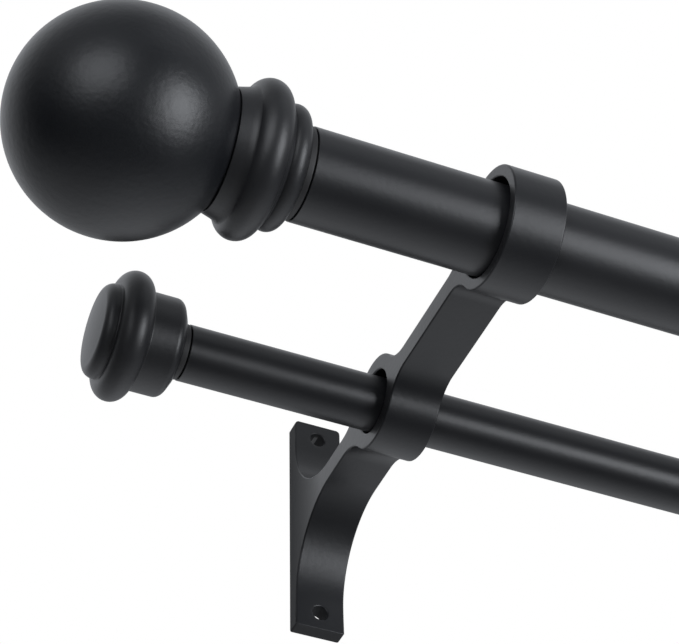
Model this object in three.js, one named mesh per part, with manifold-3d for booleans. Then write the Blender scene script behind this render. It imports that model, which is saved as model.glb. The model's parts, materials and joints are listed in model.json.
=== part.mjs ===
// Double curtain rod set: a thick front rod with ball finials and a thin rear rod with cap finials,
// each a telescoping pair of tubes, lying in the closed rings of two wall brackets.
// Millimetres. +X runs along the rods, +Y points into the wall and +Z is up.
// The origin is the middle of the left bracket's back face, where it meets the wall.
import * as THREE from 'three';
import { mergeVertices } from 'three/addons/utils/BufferGeometryUtils.js';
import Module from 'manifold-3d';

const wasm = await Module();
wasm.setup();

// General
const GAP = 0.3; // clearance between pieces that touch
const REST_GAP = 0.2; // clearance under a rod where it lies in a ring
const ARC_ERROR = 0.12; // how far a drawn arc's chords may lie inside it
const ROUND_SEGMENTS = 28; // facets around a turned piece
const HIDDEN_SEGMENTS = 20; // facets around a turned piece inside a tube
const HOLE_SEGMENTS = 24; // facets around a drilled hole
const THREAD_SEGMENTS = 16; // facets around a stud
const MERGE_DISTANCE = 1e-4; // vertices nearer than this are one
const DEGREE = Math.PI / 180;

// Wall brackets
const BRACKET_SPACING = 600; // between the two brackets' middles
const BRACKET_WIDTH = 15.1;
const PLATE_HEIGHT = 77.4;
const PLATE_THICKNESS = 5.1;
const PLATE_CORNERS = { wall: 0.9, front: 0.25 };
const ARM_THICKNESS = 6.7;
const ARM_DROP = 0.5; // how far the arm's middle line lies under the plate's middle
const ROOT_FILLET = 25; // between the plate and the arm, above and below
const SCREW_HOLE = { height: 32.9, radius: 2.35 };
// A ring's lift is how far its middle lies above the arm's middle line.
const REAR_RING = { reach: 62.5, lift: 0.1, outer: 14, bore: 9.4, fillet: 14, farFillet: 12 };
const FRONT_RING = { reach: 136.5, lift: 0.3, outer: 17.2, bore: 13.9, fillet: 10 };

// Telescoping tubes
const TUBE_WALL = 0.7;
const OUTER_LENGTH = 690;
const INNER_LENGTH = 660;
const RODS = {
  front: { ring: FRONT_RING, outerRadius: 12.7, innerRadius: 11, overhang: 60.2 },
  rear: { ring: REAR_RING, outerRadius: 8, innerRadius: 6.35, overhang: 64.7 },
};

// Plastic end plugs and the glides between the two tubes of a rod
const PLUG_FLANGE = 1.9;
const PLUG_DEPTH = 16;
const PLUG_INSET = 0.1; // how far the flange's rim lies inside the tube's surface
const PLUG_CHAMFER = 1; // on the sleeve's leading edge
const BUSHING_LIP = 2;
const BUSHING_DEPTH = 12;
const BUSHING_CHAMFER = 0.5;
const GLIDE_FLANGE = 3;
const GLIDE_DEPTH = 12;
const GLIDE_WALL = 1.5;

// Threaded studs, drawn as plain rods of the thread's outer size
const STUD_RADIUS = 3;
const STUD_CHAMFER = 0.6;
const STUD_HOLE_RADIUS = STUD_RADIUS + GAP;
const STUD_ENGAGEMENT = 9.5; // into the end plug, behind its flange's outer face
const STUD_GRIP = 12; // into a ball or a cap
const STUD_HOLE_SPARE = 1; // how much deeper the hole is than the stud

// Ball finial: a turned collar with a small and a large bead, then the ball
const BALL_RADIUS = 30.2;
const BALL_FLAT_RADIUS = 16.4; // of the flat that meets the collar
const COLLAR_LENGTH = 20;
const COLLAR_TIP = { radius: 16.6, chamfer: 0.3 };
const SMALL_BEAD = { at: 3.2, radius: 13.7, tube: 3.2 };
const LARGE_BEAD = { at: 10.8, radius: 16.5, tube: 4.85 };
const COLLAR_NECK = [{ at: 16, radius: 17.7 }, { at: 17.2, radius: 17.3 }];

// Cap finial: a base with a coned and rounded inner end, then a bead and a face disc
const CAP_BASE = { radius: 14.05, end: 9.2, shoulder: 2.3, coneEnd: 3.1, coneStart: 10.6 };
const CAP_GROOVE = { radius: 12.9, start: 0.2, end: 0.7, corner: 0.3 };
const CAP_BEAD = { at: 15.1, radius: 13.9, tube: 4.5 };
const CAP_DISC = { radius: 13.4, at: 20.4, edge: 3 };
const CAP_CROWN = 0.5;

function material(color, roughness, metalness) {
  return new THREE.MeshStandardMaterial({ color, roughness, metalness });
}
const BLACK_COAT = material(0x1b1b1d, 0.5, 0.2);
const BLACK_RESIN = material(0x19191b, 0.45, 0);
const BLACK_PLASTIC = material(0x101011, 0.6, 0);
const WHITE_PLASTIC = material(0xd9d8d2, 0.5, 0);
const ZINC = material(0xa9abb0, 0.35, 0.9);

const point = (x, y) => new THREE.Vector2(x, y);

// Points along an arc, both ends included. Angles are in degrees.
function arc(cx, cy, radius, from, to) {
  const sweep = (to - from) * DEGREE;
  const longestStep = 2 * Math.acos(1 - ARC_ERROR / radius);
  const steps = Math.max(2, Math.ceil(Math.abs(sweep) / longestStep));
  return Array.from({ length: steps + 1 }, (_, i) => {
    const angle = from * DEGREE + (sweep * i) / steps;
    return point(cx + radius * Math.cos(angle), cy + radius * Math.sin(angle));
  });
}

// A solid of revolution about +Y. The outline's points are (distance along the axis, radius).
function turned(outline, segments = ROUND_SEGMENTS) {
  const profile = outline.map((p) => point(p.y, p.x));
  return new THREE.LatheGeometry(profile, segments);
}

// A ring-shaped solid of revolution: its outline is closed on itself.
function turnedRing(outline, segments) {
  return turned([...outline, outline[0]], segments);
}

function tubeGeometry(length, radius) {
  const bore = radius - TUBE_WALL;
  return turnedRing([point(0, bore), point(0, radius), point(length, radius), point(length, bore)]);
}

function toManifold(geometry) {
  const bare = geometry.clone();
  bare.deleteAttribute('normal');
  bare.deleteAttribute('uv');
  const merged = mergeVertices(bare, MERGE_DISTANCE);
  return new wasm.Manifold(new wasm.Mesh({
    numProp: 3,
    vertProperties: new Float32Array(merged.attributes.position.array),
    triVerts: new Uint32Array(merged.index.array),
  }));
}

function fromManifold(solid) {
  const mesh = solid.getMesh();
  const geometry = new THREE.BufferGeometry();
  geometry.setAttribute('position', new THREE.BufferAttribute(mesh.vertProperties, 3));
  geometry.setIndex(new THREE.BufferAttribute(mesh.triVerts, 1));
  return geometry;
}

// Where a fillet between the arm's underside and a ring is centred, and the angle at which the ring
// meets it. The ring's middle lies lift above the arm's middle line.
function filletAt(ring, radius, lift) {
  const height = ARM_THICKNESS / 2 + radius;
  const along = Math.sqrt((ring.outer + radius) ** 2 - (height + lift) ** 2);
  return { radius, height, along, angle: Math.atan2(height + lift, along) / DEGREE };
}

// The lower half of the arm and rings, from the wall to the front ring's tip, with the arm's middle
// line on y = 0. With up = -1 it is the upper half, upside down.
function armHalf(up) {
  const half = ARM_THICKNESS / 2;
  const rearLift = up * REAR_RING.lift;
  const frontLift = up * FRONT_RING.lift;
  const near = filletAt(REAR_RING, REAR_RING.fillet, rearLift);
  const far = filletAt(REAR_RING, REAR_RING.farFillet, rearLift);
  const front = filletAt(FRONT_RING, FRONT_RING.fillet, frontLift);
  const rootX = PLATE_THICKNESS + ROOT_FILLET;
  return [
    ...arc(rootX, -half - ROOT_FILLET, ROOT_FILLET, 180, 90),
    ...arc(REAR_RING.reach - near.along, -near.height, near.radius, 90, near.angle),
    ...arc(REAR_RING.reach, rearLift, REAR_RING.outer, 180 + near.angle, 360 - far.angle).slice(1),
    ...arc(REAR_RING.reach + far.along, -far.height, far.radius, 180 - far.angle, 90).slice(1),
    ...arc(FRONT_RING.reach - front.along, -front.height, front.radius, 90, front.angle),
    ...arc(FRONT_RING.reach, frontLift, FRONT_RING.outer, 180 + front.angle, 360).slice(1),
  ];
}

function bracketOutline() {
  const lower = armHalf(1);
  const upper = armHalf(-1).slice(0, -1).reverse().map((p) => point(p.x, -p.y));
  const arm = [...lower, ...upper].map((p) => point(p.x, p.y - ARM_DROP));
  const top = PLATE_HEIGHT / 2;
  const { wall, front } = PLATE_CORNERS;
  return [
    ...arc(wall, wall - top, wall, 180, 270),
    ...arc(PLATE_THICKNESS - front, front - top, front, 270, 360),
    ...arm,
    ...arc(PLATE_THICKNESS - front, top - front, front, 0, 90),
    ...arc(wall, top - wall, wall, 90, 180),
  ];
}

// One length of aluminium profile: plate, arm and both rings, with two screw holes in the plate.
function bracketGeometry() {
  const shape = new THREE.Shape(bracketOutline());
  for (const ring of [REAR_RING, FRONT_RING]) {
    const bore = arc(ring.reach, ring.lift - ARM_DROP, ring.bore, 360, 0).slice(1);
    shape.holes.push(new THREE.Path(bore));
  }
  const profile = new THREE.ExtrudeGeometry(shape, { depth: BRACKET_WIDTH, bevelEnabled: false });
  profile.translate(0, 0, -BRACKET_WIDTH / 2);
  // The outline's x reaches out of the wall (-Y), its y is up (+Z) and its depth is the width (-X).
  profile.applyMatrix4(new THREE.Matrix4().makeBasis(
    new THREE.Vector3(0, -1, 0),
    new THREE.Vector3(0, 0, 1),
    new THREE.Vector3(-1, 0, 0),
  ));
  let solid = toManifold(profile);
  for (const side of [1, -1]) {
    const { radius } = SCREW_HOLE;
    const drill = new THREE.CylinderGeometry(radius, radius, 4 * PLATE_THICKNESS, HOLE_SEGMENTS);
    drill.translate(0, 0, side * SCREW_HOLE.height);
    solid = solid.subtract(toManifold(drill));
  }
  return fromManifold(solid);
}

// The plug in a tube's open end. Its axis starts at the tube's end face and runs outwards.
function endPlugGeometry(tubeRadius) {
  const sleeve = tubeRadius - TUBE_WALL - GAP;
  const rim = tubeRadius - PLUG_INSET;
  return turnedRing([
    point(-PLUG_DEPTH, STUD_HOLE_RADIUS),
    point(-PLUG_DEPTH, sleeve - PLUG_CHAMFER),
    point(PLUG_CHAMFER - PLUG_DEPTH, sleeve),
    point(GAP, sleeve),
    point(GAP, rim),
    point(GAP + PLUG_FLANGE, rim),
    point(GAP + PLUG_FLANGE, STUD_HOLE_RADIUS),
  ], HIDDEN_SEGMENTS);
}

// The ring in the outer tube's mouth that the inner tube slides through.
function mouthBushingGeometry(rod) {
  const bore = rod.innerRadius + GAP;
  const sleeve = rod.outerRadius - TUBE_WALL - GAP;
  return turnedRing([
    point(-BUSHING_DEPTH, bore),
    point(-BUSHING_DEPTH, sleeve),
    point(GAP, sleeve),
    point(GAP, rod.outerRadius),
    point(GAP + BUSHING_LIP - BUSHING_CHAMFER, rod.outerRadius),
    point(GAP + BUSHING_LIP, rod.outerRadius - BUSHING_CHAMFER),
    point(GAP + BUSHING_LIP, bore),
  ], HIDDEN_SEGMENTS);
}

// The hollow plug on the inner tube's hidden end, which runs along the outer tube's bore.
function glidePlugGeometry(rod) {
  const sleeve = rod.innerRadius - TUBE_WALL - GAP;
  const flange = rod.outerRadius - TUBE_WALL - GAP;
  const bore = sleeve - GLIDE_WALL;
  return turnedRing([
    point(-GAP - GLIDE_FLANGE, bore),
    point(-GAP - GLIDE_FLANGE, flange),
    point(-GAP, flange),
    point(-GAP, sleeve),
    point(GLIDE_DEPTH, sleeve),
    point(GLIDE_DEPTH, bore),
  ], HIDDEN_SEGMENTS);
}

function studGeometry(length) {
  const tip = STUD_RADIUS - STUD_CHAMFER;
  return turned([
    point(0, 0),
    point(0, tip),
    point(STUD_CHAMFER, STUD_RADIUS),
    point(length - STUD_CHAMFER, STUD_RADIUS),
    point(length, tip),
    point(length, 0),
  ], THREAD_SEGMENTS);
}

// The turned collar, from its inner end against the plug's flange to its tip against the ball.
function collarGeometry() {
  return turnedRing([
    point(0, STUD_HOLE_RADIUS),
    ...arc(SMALL_BEAD.at, SMALL_BEAD.radius, SMALL_BEAD.tube, 180, 55),
    ...arc(LARGE_BEAD.at, LARGE_BEAD.radius, LARGE_BEAD.tube, 172, 22),
    ...COLLAR_NECK.map((p) => point(p.at, p.radius)),
    point(COLLAR_LENGTH - COLLAR_TIP.chamfer, COLLAR_TIP.radius),
    point(COLLAR_LENGTH, COLLAR_TIP.radius - COLLAR_TIP.chamfer),
    point(COLLAR_LENGTH, STUD_HOLE_RADIUS),
  ]);
}

// The ball, cut flat where it meets the collar and drilled for the stud. Its axis starts at the flat.
function ballGeometry() {
  const flatAngle = Math.asin(BALL_FLAT_RADIUS / BALL_RADIUS) / DEGREE;
  const centre = BALL_RADIUS * Math.cos(flatAngle * DEGREE);
  const depth = STUD_GRIP + STUD_HOLE_SPARE;
  return turned([
    point(depth, 0),
    point(depth, STUD_HOLE_RADIUS),
    point(0, STUD_HOLE_RADIUS),
    ...arc(centre, 0, BALL_RADIUS, 180 - flatAngle, 90),
    ...arc(centre, 0, BALL_RADIUS, 90, 0).slice(1),
  ]);
}

// The cap finial in one piece, drilled for the stud. Its axis starts at its inner end.
function capGeometry() {
  const { radius, end, shoulder, coneEnd, coneStart } = CAP_BASE;
  const depth = STUD_GRIP + STUD_HOLE_SPARE;
  const face = CAP_DISC.at + CAP_DISC.edge;
  return turned([
    point(depth, 0),
    point(depth, STUD_HOLE_RADIUS),
    point(0, STUD_HOLE_RADIUS),
    point(0, coneStart),
    ...arc(coneEnd, radius - shoulder, shoulder, 155, 90),
    point(end, radius),
    point(end + CAP_GROOVE.start, CAP_GROOVE.radius + CAP_GROOVE.corner),
    point(end + CAP_GROOVE.end, CAP_GROOVE.radius),
    ...arc(CAP_BEAD.at, CAP_BEAD.radius, CAP_BEAD.tube, 185, 90),
    ...arc(CAP_BEAD.at, CAP_BEAD.radius, CAP_BEAD.tube, 90, 8).slice(1),
    point(CAP_BEAD.at + CAP_BEAD.tube, CAP_DISC.radius),
    ...arc(CAP_DISC.at, CAP_DISC.radius - CAP_DISC.edge, CAP_DISC.edge, 90, 0),
    point(face + (3 / 4) * CAP_CROWN, CAP_DISC.radius / 2),
    point(face + CAP_CROWN, 0),
  ]);
}

function named(name, geometry, finish, along = 0) {
  const mesh = new THREE.Mesh(geometry, finish);
  mesh.name = name;
  mesh.position.y = along;
  return mesh;
}

// A group at a point on a rod's axis whose own +Y runs along +X (side 1) or -X (side -1).
function axisGroup(x, rod, side) {
  const group = new THREE.Group();
  const { reach, lift, bore } = rod.ring;
  group.position.set(x, -reach, lift - ARM_DROP - (bore - rod.outerRadius - REST_GAP));
  group.rotation.z = (-side * Math.PI) / 2;
  return group;
}

// What hangs on one end of a rod: the plug, the stud and the finial, in a group that points outwards.
function addRodEnd(group, name, tubeRadius, isBall) {
  const start = GAP + PLUG_FLANGE + GAP;
  const studStart = start - GAP - STUD_ENGAGEMENT;
  const grip = STUD_GRIP + (isBall ? start + COLLAR_LENGTH + GAP : start);
  group.add(named(`${name}_end_plug`, endPlugGeometry(tubeRadius), BLACK_PLASTIC));
  group.add(named(`${name}_finial_stud`, studGeometry(grip - studStart), ZINC, studStart));
  if (isBall) {
    group.add(named(`${name}_finial_collar`, collarGeometry(), BLACK_COAT, start));
    group.add(named(`${name}_finial_ball`, ballGeometry(), BLACK_RESIN, start + COLLAR_LENGTH + GAP));
  } else {
    group.add(named(`${name}_finial_cap`, capGeometry(), BLACK_COAT, start));
  }
}

function addRod(parent, name) {
  const rod = RODS[name];
  const leftEnd = -rod.overhang;
  const rightEnd = BRACKET_SPACING + rod.overhang;
  const mouth = leftEnd + OUTER_LENGTH;
  const hiddenEnd = rightEnd - INNER_LENGTH;

  const fromLeft = axisGroup(leftEnd, rod, 1);
  fromLeft.add(named(`${name}_outer_tube`, tubeGeometry(OUTER_LENGTH, rod.outerRadius), BLACK_COAT));
  fromLeft.add(named(`${name}_mouth_bushing`, mouthBushingGeometry(rod), BLACK_PLASTIC, mouth - leftEnd));
  fromLeft.add(named(
    `${name}_inner_tube`,
    tubeGeometry(INNER_LENGTH, rod.innerRadius),
    BLACK_COAT,
    hiddenEnd - leftEnd,
  ));
  fromLeft.add(named(`${name}_glide_plug`, glidePlugGeometry(rod), WHITE_PLASTIC, hiddenEnd - leftEnd));

  const left = axisGroup(leftEnd, rod, -1);
  const right = axisGroup(rightEnd, rod, 1);
  addRodEnd(left, `${name}_left`, rod.outerRadius, name === 'front');
  addRodEnd(right, `${name}_right`, rod.innerRadius, name === 'front');
  parent.add(fromLeft, left, right);
}

const group = new THREE.Group();
for (const [name, x] of [['left_bracket', 0], ['right_bracket', BRACKET_SPACING]]) {
  const bracket = new THREE.Mesh(bracketGeometry(), BLACK_COAT);
  bracket.name = name;
  bracket.position.x = x;
  group.add(bracket);
}
addRod(group, 'front');
addRod(group, 'rear');

export default group;
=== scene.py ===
"""The looks of a double curtain rod set: two ringed wall brackets, a thick telescoping rod with ball
finials and a thin telescoping rod with cap finials.

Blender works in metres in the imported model's frame: +X along the rods, +Y into the wall, +Z up.
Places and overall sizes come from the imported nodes. Outlines are drawn in millimetres, each in its
own piece's coordinates, and are scaled when they become meshes.
"""
import json
import math

import bmesh
import bpy
from mathutils import Matrix, Vector


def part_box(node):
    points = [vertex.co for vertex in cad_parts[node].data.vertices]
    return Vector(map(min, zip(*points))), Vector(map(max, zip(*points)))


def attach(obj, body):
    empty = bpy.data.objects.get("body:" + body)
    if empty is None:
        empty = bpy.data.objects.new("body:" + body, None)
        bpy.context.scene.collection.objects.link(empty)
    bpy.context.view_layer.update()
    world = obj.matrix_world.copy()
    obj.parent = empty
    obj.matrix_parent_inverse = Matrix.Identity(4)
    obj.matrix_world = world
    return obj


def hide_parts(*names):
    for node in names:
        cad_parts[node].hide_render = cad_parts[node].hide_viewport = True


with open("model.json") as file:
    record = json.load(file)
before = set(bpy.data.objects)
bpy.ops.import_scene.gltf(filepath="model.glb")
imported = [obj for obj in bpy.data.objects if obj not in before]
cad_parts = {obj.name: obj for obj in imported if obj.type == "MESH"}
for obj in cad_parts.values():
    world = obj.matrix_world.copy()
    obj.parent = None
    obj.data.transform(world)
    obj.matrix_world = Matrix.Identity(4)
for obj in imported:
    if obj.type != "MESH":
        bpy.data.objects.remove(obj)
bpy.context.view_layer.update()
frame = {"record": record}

MM = 0.001
ROUND_SEGMENTS = 128  # facets around a turned piece
ARC_STEP = 4.0  # degrees between the points of a drawn arc
CORNER_STEPS = 4  # facets across a small rounded corner
SHARP_ANGLE = math.radians(35)  # edges sharper than this aren't shaded smooth

# Brackets, in millimetres
BRACKET_EDGE = 0.5  # rounding of the sawn edges
PLATE_THICKNESS = 5.1
PLATE_CORNERS = {"wall": 0.9, "front": 0.25}
ARM_THICKNESS = 6.7
ARM_DROP = 0.5  # how far the arm's middle line lies under the plate's middle
ROOT_FILLET = 25
# A ring's lift is how far its middle lies above the arm's middle line.
REAR_RING = {"reach": 62.5, "lift": 0.1, "outer": 14, "bore": 9.4, "fillet": 14, "far_fillet": 12}
FRONT_RING = {"reach": 136.5, "lift": 0.3, "outer": 17.2, "bore": 13.9, "fillet": 10}
PLATE_ROUNDING = 1.8  # of the plate's four corners, seen from the front
SCREW_HOLE = {"height": 32.9, "radius": 2.35, "edge": 0.4}
BLANK_SPARE = 0.01  # how far the rounded blank clears the plate's flat edges
CUTTER_REACH = 1  # how far a cutter or blank goes past what it works on
SCREW_HOLE_SEGMENTS = 64

# Turned pieces, in millimetres
TUBE_WALL = 0.7
TUBE_EDGE = 0.2
GAP = 0.3
SAME = 0.01  # lengths that differ by less are the same
STUD_HOLE_RADIUS = 3.3
FLANGE_EDGE = 0.35
PLUG_FLANGE = 1.9
PLUG_RIBS = 12
PLUG_RIB_HEIGHT = 0.25
PLUG_RIB_SHARPNESS = 6
PLUG_OVERHANG = 0.1  # how far a tube stands out past the plug's flange
PLUG_LEAD_IN = 1
PLUG_SLEEVE_EDGE = 0.2
BUSHING_LIP = 2
BUSHING_EDGES = {"sleeve": 0.15, "lip": 0.6, "bore": 0.25}
GLIDE_FLANGE = 3
GLIDE_WALL = 1.5
THREAD_PITCH = 1
THREAD_DEPTH = 0.6
THREAD_STEPS = 8  # rings of points along each turn of thread
THREAD_SEGMENTS = 32
THREAD_SLOPE, THREAD_ROOT = 1.25, 0.1  # its height is slope * flank - root, held between 0 and 1
STUD_CHAMFER = 0.6
STUD_HOLE_DEPTH = 13
BALL_FLAT_RADIUS = 16.4
BALL_STEP = 2.5  # degrees between the points of its arc
# An arc's two angles, in degrees, are where its neighbours meet it.
SMALL_BEAD = {"at": 3.2, "radius": 13.7, "tube": 3.2, "arc": (180, 55)}
LARGE_BEAD = {"at": 10.8, "radius": 16.5, "tube": 4.85, "arc": (172, 22)}
COLLAR_NECK = [(16, 17.7), (17.2, 17.3)]
COLLAR_TIP = {"radius": 16.6, "edge": 0.3, "arc": (75, 0)}
CAP_BASE = {"radius": 14.05, "shoulder": 2.3, "cone_end": 3.1, "cone_start": 10.6, "arc": (155, 90)}
CAP_BEAD = {"at": 15.1, "radius": 13.9, "tube": 4.5}
CAP_DISC = {"radius": 13.4, "at": 20.4, "edge": 3}
CAP_CROWN = 0.5  # how far the face swells at its middle
CROWN_STEPS = 8
CAP_FILLET = 0.5  # in the corners beside the bead

# Finishes. Sizes, heights and fades are in metres. Each pair says where an effect starts and where it
# is full: a fade's are places along Y, with the wall at 0, and a facing's are sizes of the normal's
# part along an axis.
DRIFT_SIZE = 0.035
GRAIN_SIZE = 0.00025
SPECK_SPACING = 0.009
SPECK_RADIUS = 0.00022
SPECK_HEIGHT = 0.00003
SAWN_SIZE = 0.0009
SAWN_HEIGHT = 0.00003
# The sawn faces' lighter mottle is partly painted light. It fades out towards the wall, which paints shade
# on the plate's edges by the wall and light on the arms' sides away from it.
SAWN_LIGHT_FADE = (-0.003, -0.04)
SAWN_FACING = (0.85, 0.98)
DULL_FADE = (-0.024, -0.003)
DULL_FACING = (0.4, 0.15)
DULL_ROUGHNESS = 0.74
NOISE_LOW, NOISE_HIGH = 0.3, 0.7  # between these a noise runs from one value or colour to the other

# Camera
CAMERA_PLACE = Vector((-0.22313, -0.52413, -0.44978))
CAMERA_HEADING = math.radians(24.031)  # to the right of straight at the wall
CAMERA_RISE = math.radians(43.312)  # it looks up from under the rods
CAMERA_ROLL = math.radians(-1.353)
CAMERA_LENS = 127.374

# Studio
FLOOR_HEIGHT = -2.2
FLOOR_SIZE = 120
LIGHT_DISTANCE = 2.5
# Each wall's direction, where along it the wall's glow starts and is full, and the full glow
ROOM_GLOW = [
    ((0, 1, 0), 0.2, 0.9, 0.26),
    ((0, 1, 1), 0.2, 0.9, 0.24),
    ((0, 1, -1), 0.5, 0.95, 0.3),
    ((0, 0.3, 1), 0.75, 1.0, 0.4),
    ((1, 0, 1), 0.6, 1.0, 0.45),
    ((1, 1, -1), 0.6, 1.0, 0.45),
    ((-0.335, 0.63, 0.7), 0.75, 1.0, 0.44),
    ((0.3, -0.67, 0.68), 0.9, 1.0, 0.45),
    ((-1, -1, 1), 0.5, 1.0, 0.3),
]
LIGHT_TINT = (0.96, 0.99, 1.04)


# ---------------------------------------------------------------- outlines

def arc(centre, radius, start, end, step=ARC_STEP):
    """Points along an arc, both ends included. Angles are in degrees."""
    count = max(2, math.ceil(abs(end - start) / step))
    angles = [math.radians(start + (end - start) * i / count) for i in range(count + 1)]
    x, y = centre
    return [(x + radius * math.cos(a), y + radius * math.sin(a)) for a in angles]


def rounded(corners, closed=True):
    """An outline through (x, y, rounding) corners, each turned on an arc of its own rounding."""
    points = []
    for i, (x, y, rounding) in enumerate(corners):
        if rounding == 0 or (not closed and i in (0, len(corners) - 1)):
            points.append((x, y))
            continue
        here = Vector((x, y))
        before = (Vector(corners[i - 1][:2]) - here).normalized()
        after = (Vector(corners[(i + 1) % len(corners)][:2]) - here).normalized()
        half = before.angle(after) / 2
        centre = here + (before + after).normalized() * rounding / math.sin(half)
        start = here + before * rounding / math.tan(half) - centre
        end = here + after * rounding / math.tan(half) - centre
        for k in range(CORNER_STEPS + 1):
            share = k / CORNER_STEPS
            turn = start.angle(end) * share
            side = (end - start * start.dot(end) / start.length_squared).normalized()
            offset = start * math.cos(turn) + side * rounding * math.sin(turn)
            points.append(tuple(centre + offset))
    return points


def fillet_at(ring, radius, lift):
    """Where a fillet between the arm's underside and a ring is centred, and the angle at which the
    ring meets it. The ring's middle lies lift above the arm's middle line."""
    height = ARM_THICKNESS / 2 + radius
    along = math.sqrt((ring["outer"] + radius) ** 2 - (height + lift) ** 2)
    return height, along, math.degrees(math.atan2(height + lift, along))


def arm_half(up):
    """The lower half of the arm and rings, from the wall out, with the arm's middle line on y = 0.
    With up = -1 it is the upper half, upside down."""
    half = ARM_THICKNESS / 2
    rear, front = REAR_RING["reach"], FRONT_RING["reach"]
    rear_lift, front_lift = up * REAR_RING["lift"], up * FRONT_RING["lift"]
    near_height, near_along, near_angle = fillet_at(REAR_RING, REAR_RING["fillet"], rear_lift)
    far_height, far_along, far_angle = fillet_at(REAR_RING, REAR_RING["far_fillet"], rear_lift)
    tip_height, tip_along, tip_angle = fillet_at(FRONT_RING, FRONT_RING["fillet"], front_lift)
    root = (PLATE_THICKNESS + ROOT_FILLET, -half - ROOT_FILLET)
    return [
        *arc(root, ROOT_FILLET, 180, 90),
        *arc((rear - near_along, -near_height), REAR_RING["fillet"], 90, near_angle),
        *arc((rear, rear_lift), REAR_RING["outer"], 180 + near_angle, 360 - far_angle)[1:],
        *arc((rear + far_along, -far_height), REAR_RING["far_fillet"], 180 - far_angle, 90)[1:],
        *arc((front - tip_along, -tip_height), FRONT_RING["fillet"], 90, tip_angle),
        *arc((front, front_lift), FRONT_RING["outer"], 180 + tip_angle, 360)[1:],
    ]


def bracket_outline(height):
    """The whole bracket from the side: x is the reach out of the wall and y is the height."""
    lower = arm_half(1)
    upper = [(x, -y) for x, y in reversed(arm_half(-1)[:-1])]
    arm = [(x, y - ARM_DROP) for x, y in lower + upper]
    wall, front = PLATE_CORNERS["wall"], PLATE_CORNERS["front"]
    top = height / 2
    step = 90 / CORNER_STEPS
    return [
        *arc((wall, wall - top), wall, 180, 270, step),
        *arc((PLATE_THICKNESS - front, front - top), front, 270, 360, step),
        *arm,
        *arc((PLATE_THICKNESS - front, top - front), front, 0, 90, step),
        *arc((wall, top - wall), wall, 90, 180, step),
    ]


def collar_outline(length):
    tip, edge = COLLAR_TIP["radius"], COLLAR_TIP["edge"]
    small, large = SMALL_BEAD, LARGE_BEAD
    return [
        (length, STUD_HOLE_RADIUS),
        (0, STUD_HOLE_RADIUS),
        *arc((small["at"], small["radius"]), small["tube"], *small["arc"]),
        *arc((large["at"], large["radius"]), large["tube"], *large["arc"]),
        *COLLAR_NECK,
        *arc((length - edge, tip - edge), edge, *COLLAR_TIP["arc"], 90 / CORNER_STEPS),
    ]


def ball_outline(radius):
    flat = math.degrees(math.asin(BALL_FLAT_RADIUS / radius))
    centre = radius * math.cos(math.radians(flat))
    return [
        (STUD_HOLE_DEPTH, 0),
        *rounded([
            (STUD_HOLE_DEPTH, 0, 0),
            (STUD_HOLE_DEPTH, STUD_HOLE_RADIUS, 0),
            (0, STUD_HOLE_RADIUS, FLANGE_EDGE),
            (0, BALL_FLAT_RADIUS, 0),
        ], closed=False)[1:-1],
        *arc((centre, 0), radius, 180 - flat, 0, BALL_STEP),
    ]


def cap_fillet(radius, side):
    """The fillet between the cap's bead and a plain radius on the bead's inner (side -1) or outer
    (side +1) flank: its centre, and at which angle the bead meets it."""
    rise = radius + CAP_FILLET - CAP_BEAD["radius"]
    along = side * math.sqrt((CAP_BEAD["tube"] + CAP_FILLET) ** 2 - rise ** 2)
    centre = (CAP_BEAD["at"] + along, radius + CAP_FILLET)
    return centre, math.degrees(math.atan2(rise, along))


def cap_outline():
    radius, shoulder = CAP_BASE["radius"], CAP_BASE["shoulder"]
    edge = CAP_DISC["edge"]
    face = CAP_DISC["at"] + edge
    crown_radius = CAP_DISC["radius"] - edge
    shares = [1 - k / CROWN_STEPS for k in range(1, CROWN_STEPS + 1)]
    crown = [(face + CAP_CROWN * (1 - share ** 2), crown_radius * share) for share in shares]
    inner, inner_angle = cap_fillet(radius, -1)
    outer, outer_angle = cap_fillet(CAP_DISC["radius"], 1)
    return [
        (STUD_HOLE_DEPTH, 0),
        (STUD_HOLE_DEPTH, STUD_HOLE_RADIUS),
        (0, STUD_HOLE_RADIUS),
        (0, CAP_BASE["cone_start"]),
        *arc((CAP_BASE["cone_end"], radius - shoulder), shoulder, *CAP_BASE["arc"]),
        *arc(inner, CAP_FILLET, 270, 180 + inner_angle, 90 / CORNER_STEPS),
        *arc((CAP_BEAD["at"], CAP_BEAD["radius"]), CAP_BEAD["tube"], inner_angle, outer_angle)[1:-1],
        *arc(outer, CAP_FILLET, 180 + outer_angle, 270, 90 / CORNER_STEPS),
        *arc((CAP_DISC["at"], crown_radius), edge, 90, 0),
        *crown,
    ]


# ---------------------------------------------------------------- meshes

def finished_mesh(name, bm):
    """A mesh object from a closed bmesh, shaded smooth apart from its sharp edges."""
    bmesh.ops.recalc_face_normals(bm, faces=bm.faces)
    mesh = bpy.data.meshes.new(name)
    bm.to_mesh(mesh)
    bm.free()
    mesh.polygons.foreach_set("use_smooth", [True] * len(mesh.polygons))
    mesh.set_sharp_from_angle(angle=SHARP_ANGLE)
    piece = bpy.data.objects.new(name, mesh)
    bpy.context.scene.collection.objects.link(piece)
    weighted = piece.modifiers.new("even_normals", "WEIGHTED_NORMAL")
    weighted.keep_sharp = True
    return piece


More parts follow.
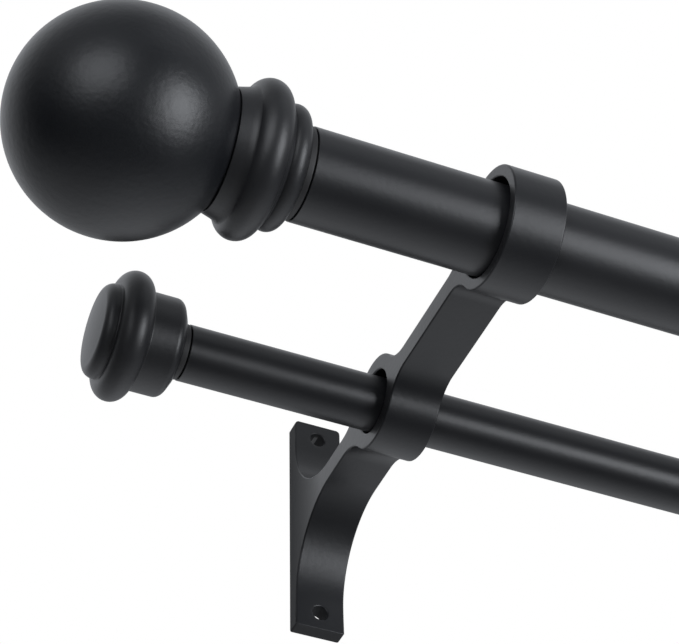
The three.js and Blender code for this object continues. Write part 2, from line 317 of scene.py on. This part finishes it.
def turned_bmesh(outline, place, closed, radius_at=None, segments=ROUND_SEGMENTS):
    """A solid of revolution. place turns (along, out, turn) into a point; radius_at may vary the radius."""
    bm = bmesh.new()
    rings = []
    for along, radius in outline:
        if radius == 0:
            rings.append([bm.verts.new(place(along, 0, 0))])
            continue
        ring = []
        for k in range(segments):
            turn = 2 * math.pi * k / segments
            out = radius_at(along, radius, turn) if radius_at else radius
            ring.append(bm.verts.new(place(along, out, turn)))
        rings.append(ring)
    pairs = list(zip(rings, rings[1:]))
    if closed:
        pairs.append((rings[-1], rings[0]))
    for first, second in pairs:
        for k in range(segments):
            corners = [first[k % len(first)], first[(k + 1) % len(first)]]
            corners += [second[(k + 1) % len(second)], second[k % len(second)]]
            unique = list(dict.fromkeys(corners))
            if len(unique) > 2:
                bm.faces.new(unique)
    return bm


def along_rod(node, side):
    """Places a turned piece on its node's axis, from the node's inner end outwards. side is +1 for
    a piece that runs along +X and -1 for one that runs along -X."""
    low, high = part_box(node)
    middle = (low + high) / 2
    start = low.x if side > 0 else high.x

    def place(along, out, turn):
        return Vector((
            start + side * along * MM,
            middle.y + out * MM * math.cos(turn),
            middle.z + out * MM * math.sin(turn),
        ))
    return place


def size_of(node):
    """A turned node's length and radius, in millimetres."""
    low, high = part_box(node)
    return (high.x - low.x) / MM, (high.z - low.z) / 2 / MM


def turned_piece(node, side, outline, closed=True, **options):
    bm = turned_bmesh(outline, along_rod(node, side), closed, **options)
    return finished_mesh(node + "_look", bm)


def tube_piece(node):
    length, radius = size_of(node)
    bore = radius - TUBE_WALL
    outline = rounded([
        (0, bore, TUBE_EDGE),
        (0, radius, TUBE_EDGE),
        (length, radius, TUBE_EDGE),
        (length, bore, TUBE_EDGE),
    ])
    return turned_piece(node, 1, outline)


def end_plug_piece(node, side):
    """A plug with a rounded flange and crush ribs along its sleeve."""
    length, radius = size_of(node)
    depth = length - PLUG_FLANGE
    sleeve = radius + PLUG_OVERHANG - TUBE_WALL - GAP - PLUG_RIB_HEIGHT
    outline = rounded([
        (0, STUD_HOLE_RADIUS, PLUG_SLEEVE_EDGE),
        (0, sleeve - PLUG_LEAD_IN, PLUG_SLEEVE_EDGE),
        (PLUG_LEAD_IN, sleeve, PLUG_SLEEVE_EDGE),
        (depth, sleeve, 0),
        (depth, radius, FLANGE_EDGE),
        (length, radius, FLANGE_EDGE),
        (length, STUD_HOLE_RADIUS, FLANGE_EDGE),
    ])

    def ribbed(along, out, turn):
        if abs(out - sleeve) > SAME or along > depth - SAME:
            return out
        return out + PLUG_RIB_HEIGHT * max(0, math.cos(PLUG_RIBS * turn)) ** PLUG_RIB_SHARPNESS
    return turned_piece(node, side, outline, radius_at=ribbed)


def mouth_bushing_piece(node, inner_tube):
    length, radius = size_of(node)
    bore = size_of(inner_tube)[1] + GAP
    sleeve = radius - TUBE_WALL - GAP
    depth = length - BUSHING_LIP
    outline = rounded([
        (0, bore, BUSHING_EDGES["sleeve"]),
        (0, sleeve, BUSHING_EDGES["sleeve"]),
        (depth, sleeve, 0),
        (depth, radius, FLANGE_EDGE),
        (length, radius, BUSHING_EDGES["lip"]),
        (length, bore, BUSHING_EDGES["bore"]),
    ])
    return turned_piece(node, 1, outline)


def glide_plug_piece(node, inner_tube):
    length, radius = size_of(node)
    sleeve = size_of(inner_tube)[1] - TUBE_WALL - GAP
    bore = sleeve - GLIDE_WALL
    outline = rounded([
        (0, bore, FLANGE_EDGE),
        (0, radius, FLANGE_EDGE),
        (GLIDE_FLANGE, radius, FLANGE_EDGE),
        (GLIDE_FLANGE, sleeve, 0),
        (length, sleeve, FLANGE_EDGE),
        (length, bore, FLANGE_EDGE),
    ])
    return turned_piece(node, 1, outline)


def stud_piece(node, side):
    """A stud with a real helical thread, chamfered at both ends."""
    length, radius = size_of(node)
    steps = round(length * THREAD_STEPS / THREAD_PITCH)
    tip = radius - STUD_CHAMFER
    rings = [(length * i / steps, radius) for i in range(steps + 1)]
    outline = [(0, 0), *rings, (length, 0)]

    def threaded(along, out, turn):
        phase = (along / THREAD_PITCH - turn / (2 * math.pi)) % 1
        flank = abs(2 * phase - 1)
        crest = out - THREAD_DEPTH * (1 - min(1, max(0, flank * THREAD_SLOPE - THREAD_ROOT)))
        return min(crest, tip + min(along, length - along))
    return turned_piece(node, side, outline, closed=False, radius_at=threaded, segments=THREAD_SEGMENTS)


def rim_loops(width):
    """The rounded rim of an extrusion: (x, inset) from one side face to the other, in millimetres."""
    half = [math.radians(90 * k / CORNER_STEPS) for k in range(CORNER_STEPS + 1)]
    side = [(width / 2 - BRACKET_EDGE * (1 - math.cos(a)), BRACKET_EDGE * (1 - math.sin(a))) for a in half]
    return side + [(-x, inset) for x, inset in reversed(side)]


def inset_loop(outline, inset):
    """A counter-clockwise outline moved into its material."""
    moved = []
    for i, (x, y) in enumerate(outline):
        before, after = Vector(outline[i - 1]), Vector(outline[(i + 1) % len(outline)])
        ahead = (after - before).normalized()
        moved.append((x - ahead.y * inset, y + ahead.x * inset))
    return moved


def without_repeats(outline):
    """The outline without points that lie on the one before."""
    return [p for i, p in enumerate(outline) if (Vector(p) - Vector(outline[i - 1])).length > 1e-4]


def screw_hole_cutter(x, z):
    """A drill through the plate that leaves a rounded edge on the front."""
    radius, edge = SCREW_HOLE["radius"], SCREW_HOLE["edge"]
    outline = rounded([
        (-CUTTER_REACH, 0, 0),
        (-CUTTER_REACH, radius, 0),
        (PLATE_THICKNESS, radius, edge),
        (PLATE_THICKNESS, radius + CUTTER_REACH, 0),
        (PLATE_THICKNESS + CUTTER_REACH, radius + CUTTER_REACH, 0),
        (PLATE_THICKNESS + CUTTER_REACH, 0, 0),
    ], closed=False)

    def place(along, out, turn):
        return Vector((x + out * MM * math.cos(turn), -along * MM, z + out * MM * math.sin(turn)))
    bm = turned_bmesh(outline, place, closed=False, segments=SCREW_HOLE_SEGMENTS)
    return finished_mesh("screw_hole_cutter", bm)


def rounded_blank(x, width, height):
    """A block with rounded corners, seen from the front, that holds the whole bracket."""
    side, top = width / 2 + BLANK_SPARE, height / 2 + BLANK_SPARE
    signs = ((-1, -1), (1, -1), (1, 1), (-1, 1))
    outline = rounded([(a * side, b * top, PLATE_ROUNDING) for a, b in signs])
    tip = FRONT_RING["reach"] + FRONT_RING["outer"] + CUTTER_REACH
    bm = bmesh.new()
    back, front = [
        [bm.verts.new((x + p * MM, y * MM, q * MM)) for p, q in outline] for y in (CUTTER_REACH, -tip)
    ]
    for k in range(len(outline)):
        bm.faces.new((back[k - 1], back[k], front[k], front[k - 1]))
    bm.faces.new(back)
    bm.faces.new(front)
    return finished_mesh("rounded_blank", bm)


def boolean(piece, operation, other):
    step = piece.modifiers.new(operation.lower(), "BOOLEAN")
    step.operation = operation
    step.solver = "EXACT"
    step.object = other


def bracket_piece(node):
    """Plate, arm and both rings as one extrusion with rounded edges and two drilled holes."""
    low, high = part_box(node)
    middle = (low.x + high.x) / 2
    width, height = (high.x - low.x) / MM, (high.z - low.z) / MM
    outline = without_repeats(bracket_outline(height))
    bm = bmesh.new()
    faces = [[], []]
    for ring in (None, REAR_RING, FRONT_RING):
        loops = []
        for x, inset in rim_loops(width):
            if ring:
                middle_height = ring["lift"] - ARM_DROP
                points = arc((ring["reach"], middle_height), ring["bore"] + inset, 0, 360, ARC_STEP / 2)[:-1]
            else:
                points = inset_loop(outline, inset)
            loops.append([bm.verts.new((middle + x * MM, -p * MM, q * MM)) for p, q in points])
        for first, second in zip(loops, loops[1:]):
            for k in range(len(first)):
                bm.faces.new((first[k - 1], first[k], second[k], second[k - 1]))
        for end, loop in zip(faces, (loops[0], loops[-1])):
            end += [bm.edges.get((loop[k - 1], loop[k])) for k in range(len(loop))]
    for end in faces:
        bmesh.ops.triangle_fill(bm, use_beauty=True, use_dissolve=False, edges=end)
    piece = finished_mesh(node + "_look", bm)
    boolean(piece, "INTERSECT", rounded_blank(middle, width, height))
    for side in (1, -1):
        boolean(piece, "DIFFERENCE", screw_hole_cutter(middle, side * SCREW_HOLE["height"] * MM))
    return with_modifiers_applied(piece)


def with_modifiers_applied(piece):
    """The piece with its booleans in its mesh, and the cutters gone."""
    cutters = [m.object for m in piece.modifiers if m.type == "BOOLEAN"]
    for modifier in [m for m in piece.modifiers if m.type != "BOOLEAN"]:
        piece.modifiers.remove(modifier)
    graph = bpy.context.evaluated_depsgraph_get()
    mesh = bpy.data.meshes.new_from_object(piece.evaluated_get(graph))
    piece.modifiers.clear()
    piece.data = mesh
    for cutter in cutters:
        bpy.data.objects.remove(cutter)
    mesh.polygons.foreach_set("use_smooth", [True] * len(mesh.polygons))
    mesh.set_sharp_from_angle(angle=SHARP_ANGLE)
    weighted = piece.modifiers.new("even_normals", "WEIGHTED_NORMAL")
    weighted.keep_sharp = True
    return piece


# ---------------------------------------------------------------- materials

class Shader:
    """A material's nodes, with short ways to add and link them."""

    def __init__(self, name):
        self.material = bpy.data.materials.new(name)
        self.material.use_nodes = True
        self.tree = self.material.node_tree
        self.surface = self.tree.nodes["Principled BSDF"]
        coordinates = self.add("ShaderNodeTexCoord")
        self.place = coordinates.outputs["Object"]
        self.normal = coordinates.outputs["Normal"]

    def add(self, kind, **inputs):
        node = self.tree.nodes.new(kind)
        for name, value in inputs.items():
            node.inputs[name.replace("_", " ")].default_value = value
        return node

    def link(self, start, end):
        self.tree.links.new(start, end)

    def noise(self, size, detail=2.0, roughness=0.5, stretch=None):
        """Noise whose blobs are about size metres across."""
        noise = self.add("ShaderNodeTexNoise", Scale=1 / size, Detail=detail, Roughness=roughness)
        place = self.place
        if stretch:
            mapping = self.add("ShaderNodeMapping", Scale=stretch)
            self.link(place, mapping.inputs["Vector"])
            place = mapping.outputs["Vector"]
        self.link(place, noise.inputs["Vector"])
        return noise.outputs["Fac"]

    def colour_between(self, dark, light, mask):
        ramp = self.add("ShaderNodeValToRGB")
        ramp.color_ramp.elements[0].position = NOISE_LOW
        ramp.color_ramp.elements[1].position = NOISE_HIGH
        ramp.color_ramp.elements[0].color = (*dark, 1)
        ramp.color_ramp.elements[1].color = (*light, 1)
        self.link(mask, ramp.inputs["Fac"])
        self.link(ramp.outputs["Color"], self.surface.inputs["Base Color"])

    def lay_over(self, name, value, mask):
        """Where the mask is 1, the value replaces what already reaches the surface's input."""
        socket = self.surface.inputs[name]
        below = socket.links[0].from_socket
        mix = self.add("ShaderNodeMix")
        mix.data_type = "RGBA" if socket.type == "RGBA" else "FLOAT"
        mix.inputs["B"].default_value = value
        self.link(below, mix.inputs["A"])
        self.link(mask, mix.inputs["Factor"])
        self.link(mix.outputs["Result"], socket)

    def roughness_between(self, low, high, mask):
        ends = {"From_Min": NOISE_LOW, "From_Max": NOISE_HIGH, "To_Min": low, "To_Max": high}
        spread = self.add("ShaderNodeMapRange", **ends)
        self.link(mask, spread.inputs["Value"])
        self.link(spread.outputs["Result"], self.surface.inputs["Roughness"])

    def specks(self):
        """Sparse round specks: 1 on a speck, 0 elsewhere."""
        cells = self.add("ShaderNodeTexVoronoi", Scale=1 / SPECK_SPACING, Randomness=1)
        self.link(self.place, cells.inputs["Vector"])
        near = self.add("ShaderNodeMapRange", From_Min=0, From_Max=SPECK_RADIUS / SPECK_SPACING)
        near.interpolation_type = "SMOOTHSTEP"
        near.inputs["To Min"].default_value = 1
        near.inputs["To Max"].default_value = 0
        self.link(cells.outputs["Distance"], near.inputs["Value"])
        return near.outputs["Result"]

    def part_of(self, vector, axis):
        axes = self.add("ShaderNodeSeparateXYZ")
        self.link(vector, axes.inputs["Vector"])
        return axes.outputs[axis]

    def math(self, operation, *sockets):
        node = self.add("ShaderNodeMath")
        node.operation = operation
        for socket, place in zip(sockets, node.inputs):
            self.link(socket, place)
        return node.outputs["Value"]

    def between(self, value, zero, one):
        """0 to 1 as a value goes from zero to one, which may lie either way round, and held there
        beyond them."""
        spread = self.add("ShaderNodeMapRange", From_Min=zero, From_Max=one)
        self.link(value, spread.inputs["Value"])
        return spread.outputs["Result"]

    def facing(self, axis, none, full):
        """0 to 1 as the size of the normal's part along an axis goes from none to full."""
        return self.between(self.math("ABSOLUTE", self.part_of(self.normal, axis)), none, full)

    def saw_and_paint_light(self, colour):
        """Pits of another colour on the faces sawn square to the rods, fading out at the wall. The pits are
            real sawn marks. Their lighter colour is partly painted light on the arms' sides, and its fading
            out paints shade on the plate's edges by the wall.
        """
        mottle = self.noise(SAWN_SIZE, detail=3, roughness=0.6)
        away = self.between(self.part_of(self.place, "Y"), *SAWN_LIGHT_FADE)
        pits_and_light = self.math("MULTIPLY", mottle, self.math("MULTIPLY", self.facing("X", *SAWN_FACING), away))
        self.lay_over("Base Color", (*colour, 1), pits_and_light)
        return pits_and_light

    def dull_by_wall(self):
        """Less gloss near the wall on the faces square to it, such as the plate's edges and screw holes."""
        near = self.between(self.part_of(self.place, "Y"), *DULL_FADE)
        dull = self.math("MULTIPLY", near, self.facing("Y", *DULL_FACING))
        self.lay_over("Roughness", DULL_ROUGHNESS, dull)

    def relief(self, layers):
        """Bumps from (mask, height in metres) layers, one on top of the other."""
        normal = None
        for mask, height in layers:
            bump = self.add("ShaderNodeBump", Strength=1.0, Distance=height)
            self.link(mask, bump.inputs["Height"])
            if normal:
                self.link(normal, bump.inputs["Normal"])
            normal = bump.outputs["Normal"]
        self.link(normal, self.surface.inputs["Normal"])


def coat(name, dark, light, roughness, peel_size, peel_height, grain_height, sawn_lit_colour=None):
    """Black coating: orange peel, a fine grain, a few specks of dust under it, and a slow drift of its
    gloss and colour. With a sawn and lit colour it is a bracket's: its faces sawn square to the rods are
    mottled with that lighter colour, which is partly painted light and fades out towards the wall as
    painted shade, and it is duller by the wall."""
    shader = Shader(name)
    drift = shader.noise(DRIFT_SIZE, detail=3)
    peel = shader.noise(peel_size, detail=1.5)
    grain = shader.noise(GRAIN_SIZE, detail=2)
    shader.colour_between(dark, light, drift)
    shader.roughness_between(*roughness, drift)
    layers = [(peel, peel_height), (grain, grain_height), (shader.specks(), SPECK_HEIGHT)]
    # A bracket's sawn mottle is made of real pits. Its lighter colour is partly painted light, and it fades
    # out as painted shade by the wall.
    if sawn_lit_colour:
        layers.append((shader.saw_and_paint_light(sawn_lit_colour), SAWN_HEIGHT))
        shader.dull_by_wall()
    shader.relief(layers)
    return shader.material


def moulded(name, dark, light, roughness):
    """Moulded plastic: fine spark-eroded grain."""
    shader = Shader(name)
    grain = shader.noise(0.0003, detail=3)
    drift = shader.noise(0.01)
    shader.colour_between(dark, light, drift)
    shader.roughness_between(*roughness, drift)
    shader.relief([(grain, 0.000008)])
    return shader.material


def zinc_plate(name):
    """Bright zinc with the fine cut marks of a rolled thread."""
    shader = Shader(name)
    shader.surface.inputs["Metallic"].default_value = 1.0
    cloud = shader.noise(0.003, detail=4)
    cuts = shader.noise(0.0006, detail=2, stretch=(1, 8, 8))
    shader.colour_between((0.50, 0.51, 0.53), (0.62, 0.62, 0.60), cloud)
    shader.roughness_between(0.26, 0.42, cloud)
    shader.relief([(cuts, 0.00001)])
    return shader.material


MATERIALS = {
    "bracket_coat": coat(
        "bracket_coat", (0.006, 0.0065, 0.0080), (0.008, 0.0085, 0.0100), (0.37, 0.43),
        peel_size=0.0016, peel_height=0.00003, grain_height=0.000004,
        # The lighter sawn colour is partly painted light on the arms' sides.
        sawn_lit_colour=(0.020, 0.0205, 0.0215)),
    "rod_coat": coat(
        "rod_coat", (0.0075, 0.008, 0.0095), (0.0095, 0.010, 0.0115), (0.37, 0.41),
        peel_size=0.0014, peel_height=0.000025, grain_height=0.000003),
    "finial_coat": coat(
        "finial_coat", (0.0095, 0.010, 0.0115), (0.0120, 0.0125, 0.014), (0.39, 0.43),
        peel_size=0.0014, peel_height=0.00003, grain_height=0.000003),
    "ball_coat": coat(
        "ball_coat", (0.003, 0.0038, 0.0055), (0.005, 0.0058, 0.0075), (0.37, 0.42),
        peel_size=0.0017, peel_height=0.00006, grain_height=0.000004),
    "black_plastic": moulded("black_plastic", (0.011, 0.011, 0.012), (0.015, 0.015, 0.016), (0.5, 0.6)),
    "white_nylon": moulded("white_nylon", (0.68, 0.67, 0.63), (0.74, 0.73, 0.70), (0.42, 0.52)),
    "zinc_steel": zinc_plate("zinc_steel"),
}


# ---------------------------------------------------------------- the object

BODY_OF = {
    node: body
    for body, nodes in frame["record"]["behaviour"]["bodies"].items()
    for node in nodes
}
SLOT_OF = {row["node"]: row["material_slot"] for row in frame["record"]["subparts"]}


def stand_for(piece, node):
    """The piece takes its node's place, body and material."""
    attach(piece, BODY_OF[node])
    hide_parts(node)
    piece.data.materials.clear()
    piece.data.materials.append(MATERIALS[SLOT_OF[node]])


def build_brackets():
    for node in ("left_bracket", "right_bracket"):
        stand_for(bracket_piece(node), node)


def build_rod(rod):
    """The two tubes of a rod, and what rides in their hidden ends."""
    outer, inner = rod + "_outer_tube", rod + "_inner_tube"
    bushing, glide = rod + "_mouth_bushing", rod + "_glide_plug"
    stand_for(tube_piece(outer), outer)
    stand_for(tube_piece(inner), inner)
    stand_for(mouth_bushing_piece(bushing, inner), bushing)
    stand_for(glide_plug_piece(glide, inner), glide)


def build_rod_end(rod, name, side):
    """The plug, stud and finial at one end of a rod."""
    end = f"{rod}_{name}_"
    plug, stud = end + "end_plug", end + "finial_stud"
    stand_for(end_plug_piece(plug, side), plug)
    stand_for(stud_piece(stud, side), stud)
    if rod == "front":
        collar, ball = end + "finial_collar", end + "finial_ball"
        length, radius = size_of(collar)[0], size_of(ball)[1]
        stand_for(turned_piece(collar, side, collar_outline(length)), collar)
        stand_for(turned_piece(ball, side, ball_outline(radius), closed=False), ball)
    else:
        cap = end + "finial_cap"
        stand_for(turned_piece(cap, side, cap_outline(), closed=False), cap)


build_brackets()
for rod in ("front", "rear"):
    build_rod(rod)
    build_rod_end(rod, "left", -1)
    build_rod_end(rod, "right", 1)


# ---------------------------------------------------------------- studio

def make_camera():
    camera = bpy.data.objects.new("camera", bpy.data.cameras.new("camera"))
    camera.data.lens = CAMERA_LENS
    heading = Matrix.Rotation(-CAMERA_HEADING, 4, "Z")
    rise = Matrix.Rotation(math.pi / 2 + CAMERA_RISE, 4, "X")
    roll = Matrix.Rotation(CAMERA_ROLL, 4, "Z")
    camera.matrix_world = Matrix.Translation(CAMERA_PLACE) @ heading @ rise @ roll
    bpy.context.scene.collection.objects.link(camera)
    bpy.context.scene.camera = camera


def make_softbox(name, towards, width, height, power, aim):
    """A soft light in the direction towards, as seen from aim. Width and height are in metres."""
    light = bpy.data.lights.new(name, "AREA")
    light.shape = "RECTANGLE"
    light.size = width
    light.size_y = height
    light.energy = power
    light.color = LIGHT_TINT
    lamp = bpy.data.objects.new(name, light)
    direction = Vector(towards).normalized()
    lamp.location = aim + direction * LIGHT_DISTANCE
    lamp.rotation_euler = direction.to_track_quat("Z", "Y").to_euler()
    bpy.context.scene.collection.objects.link(lamp)


def make_world():
    """A white backdrop, and a dim room that grows lighter towards its walls in ROOM_GLOW."""
    world = bpy.data.worlds.new("studio")
    world.use_nodes = True
    nodes, links = world.node_tree.nodes, world.node_tree.links
    room = nodes["Background"]
    room.inputs["Color"].default_value = (*LIGHT_TINT, 1)
    direction = nodes.new("ShaderNodeTexCoord").outputs["Generated"]
    strength = None
    for towards, start, end, glow in ROOM_GLOW:
        along = nodes.new("ShaderNodeVectorMath")
        along.operation = "DOT_PRODUCT"
        along.inputs[1].default_value = Vector(towards).normalized()
        links.new(direction, along.inputs[0])
        wall = nodes.new("ShaderNodeMapRange")
        wall.interpolation_type = "SMOOTHSTEP"
        wall.inputs["From Min"].default_value = start
        wall.inputs["From Max"].default_value = end
        wall.inputs["To Max"].default_value = glow
        links.new(along.outputs["Value"], wall.inputs["Value"])
        if strength is None:
            strength = wall.outputs["Result"]
            continue
        total = nodes.new("ShaderNodeMath")
        links.new(strength, total.inputs[0])
        links.new(wall.outputs["Result"], total.inputs[1])
        strength = total.outputs["Value"]
    links.new(strength, room.inputs["Strength"])
    backdrop = nodes.new("ShaderNodeBackground")
    backdrop.inputs["Color"].default_value = (1, 1, 1, 1)
    mix = nodes.new("ShaderNodeMixShader")
    links.new(nodes.new("ShaderNodeLightPath").outputs["Is Camera Ray"], mix.inputs["Fac"])
    links.new(room.outputs["Background"], mix.inputs[1])
    links.new(backdrop.outputs["Background"], mix.inputs[2])
    links.new(mix.outputs["Shader"], nodes["World Output"].inputs["Surface"])
    bpy.context.scene.world = world


def make_floor():
    bm = bmesh.new()
    bmesh.ops.create_grid(bm, x_segments=1, y_segments=1, size=FLOOR_SIZE / 2)
    floor = finished_mesh("floor", bm)
    floor.location.z = FLOOR_HEIGHT
    floor.visible_glossy = False
    shader = Shader("pale_floor")
    cloud = shader.noise(0.6, detail=2)
    shader.colour_between((0.91, 0.885, 0.85), (0.92, 0.895, 0.86), cloud)
    shader.roughness_between(0.7, 0.8, cloud)
    floor.data.materials.append(shader.material)


make_camera()
make_world()
make_floor()
ball_middle = (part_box("front_left_finial_ball")[0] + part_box("front_left_finial_ball")[1]) / 2
make_softbox("right_softbox", (0.63, -0.75, -0.22), 1.4, 1.6, 50, ball_middle)
make_softbox("left_softbox", (-0.61, -0.79, 0.0), 1.8, 1.6, 26, ball_middle)
bpy.context.scene.view_settings.view_transform = "Standard"
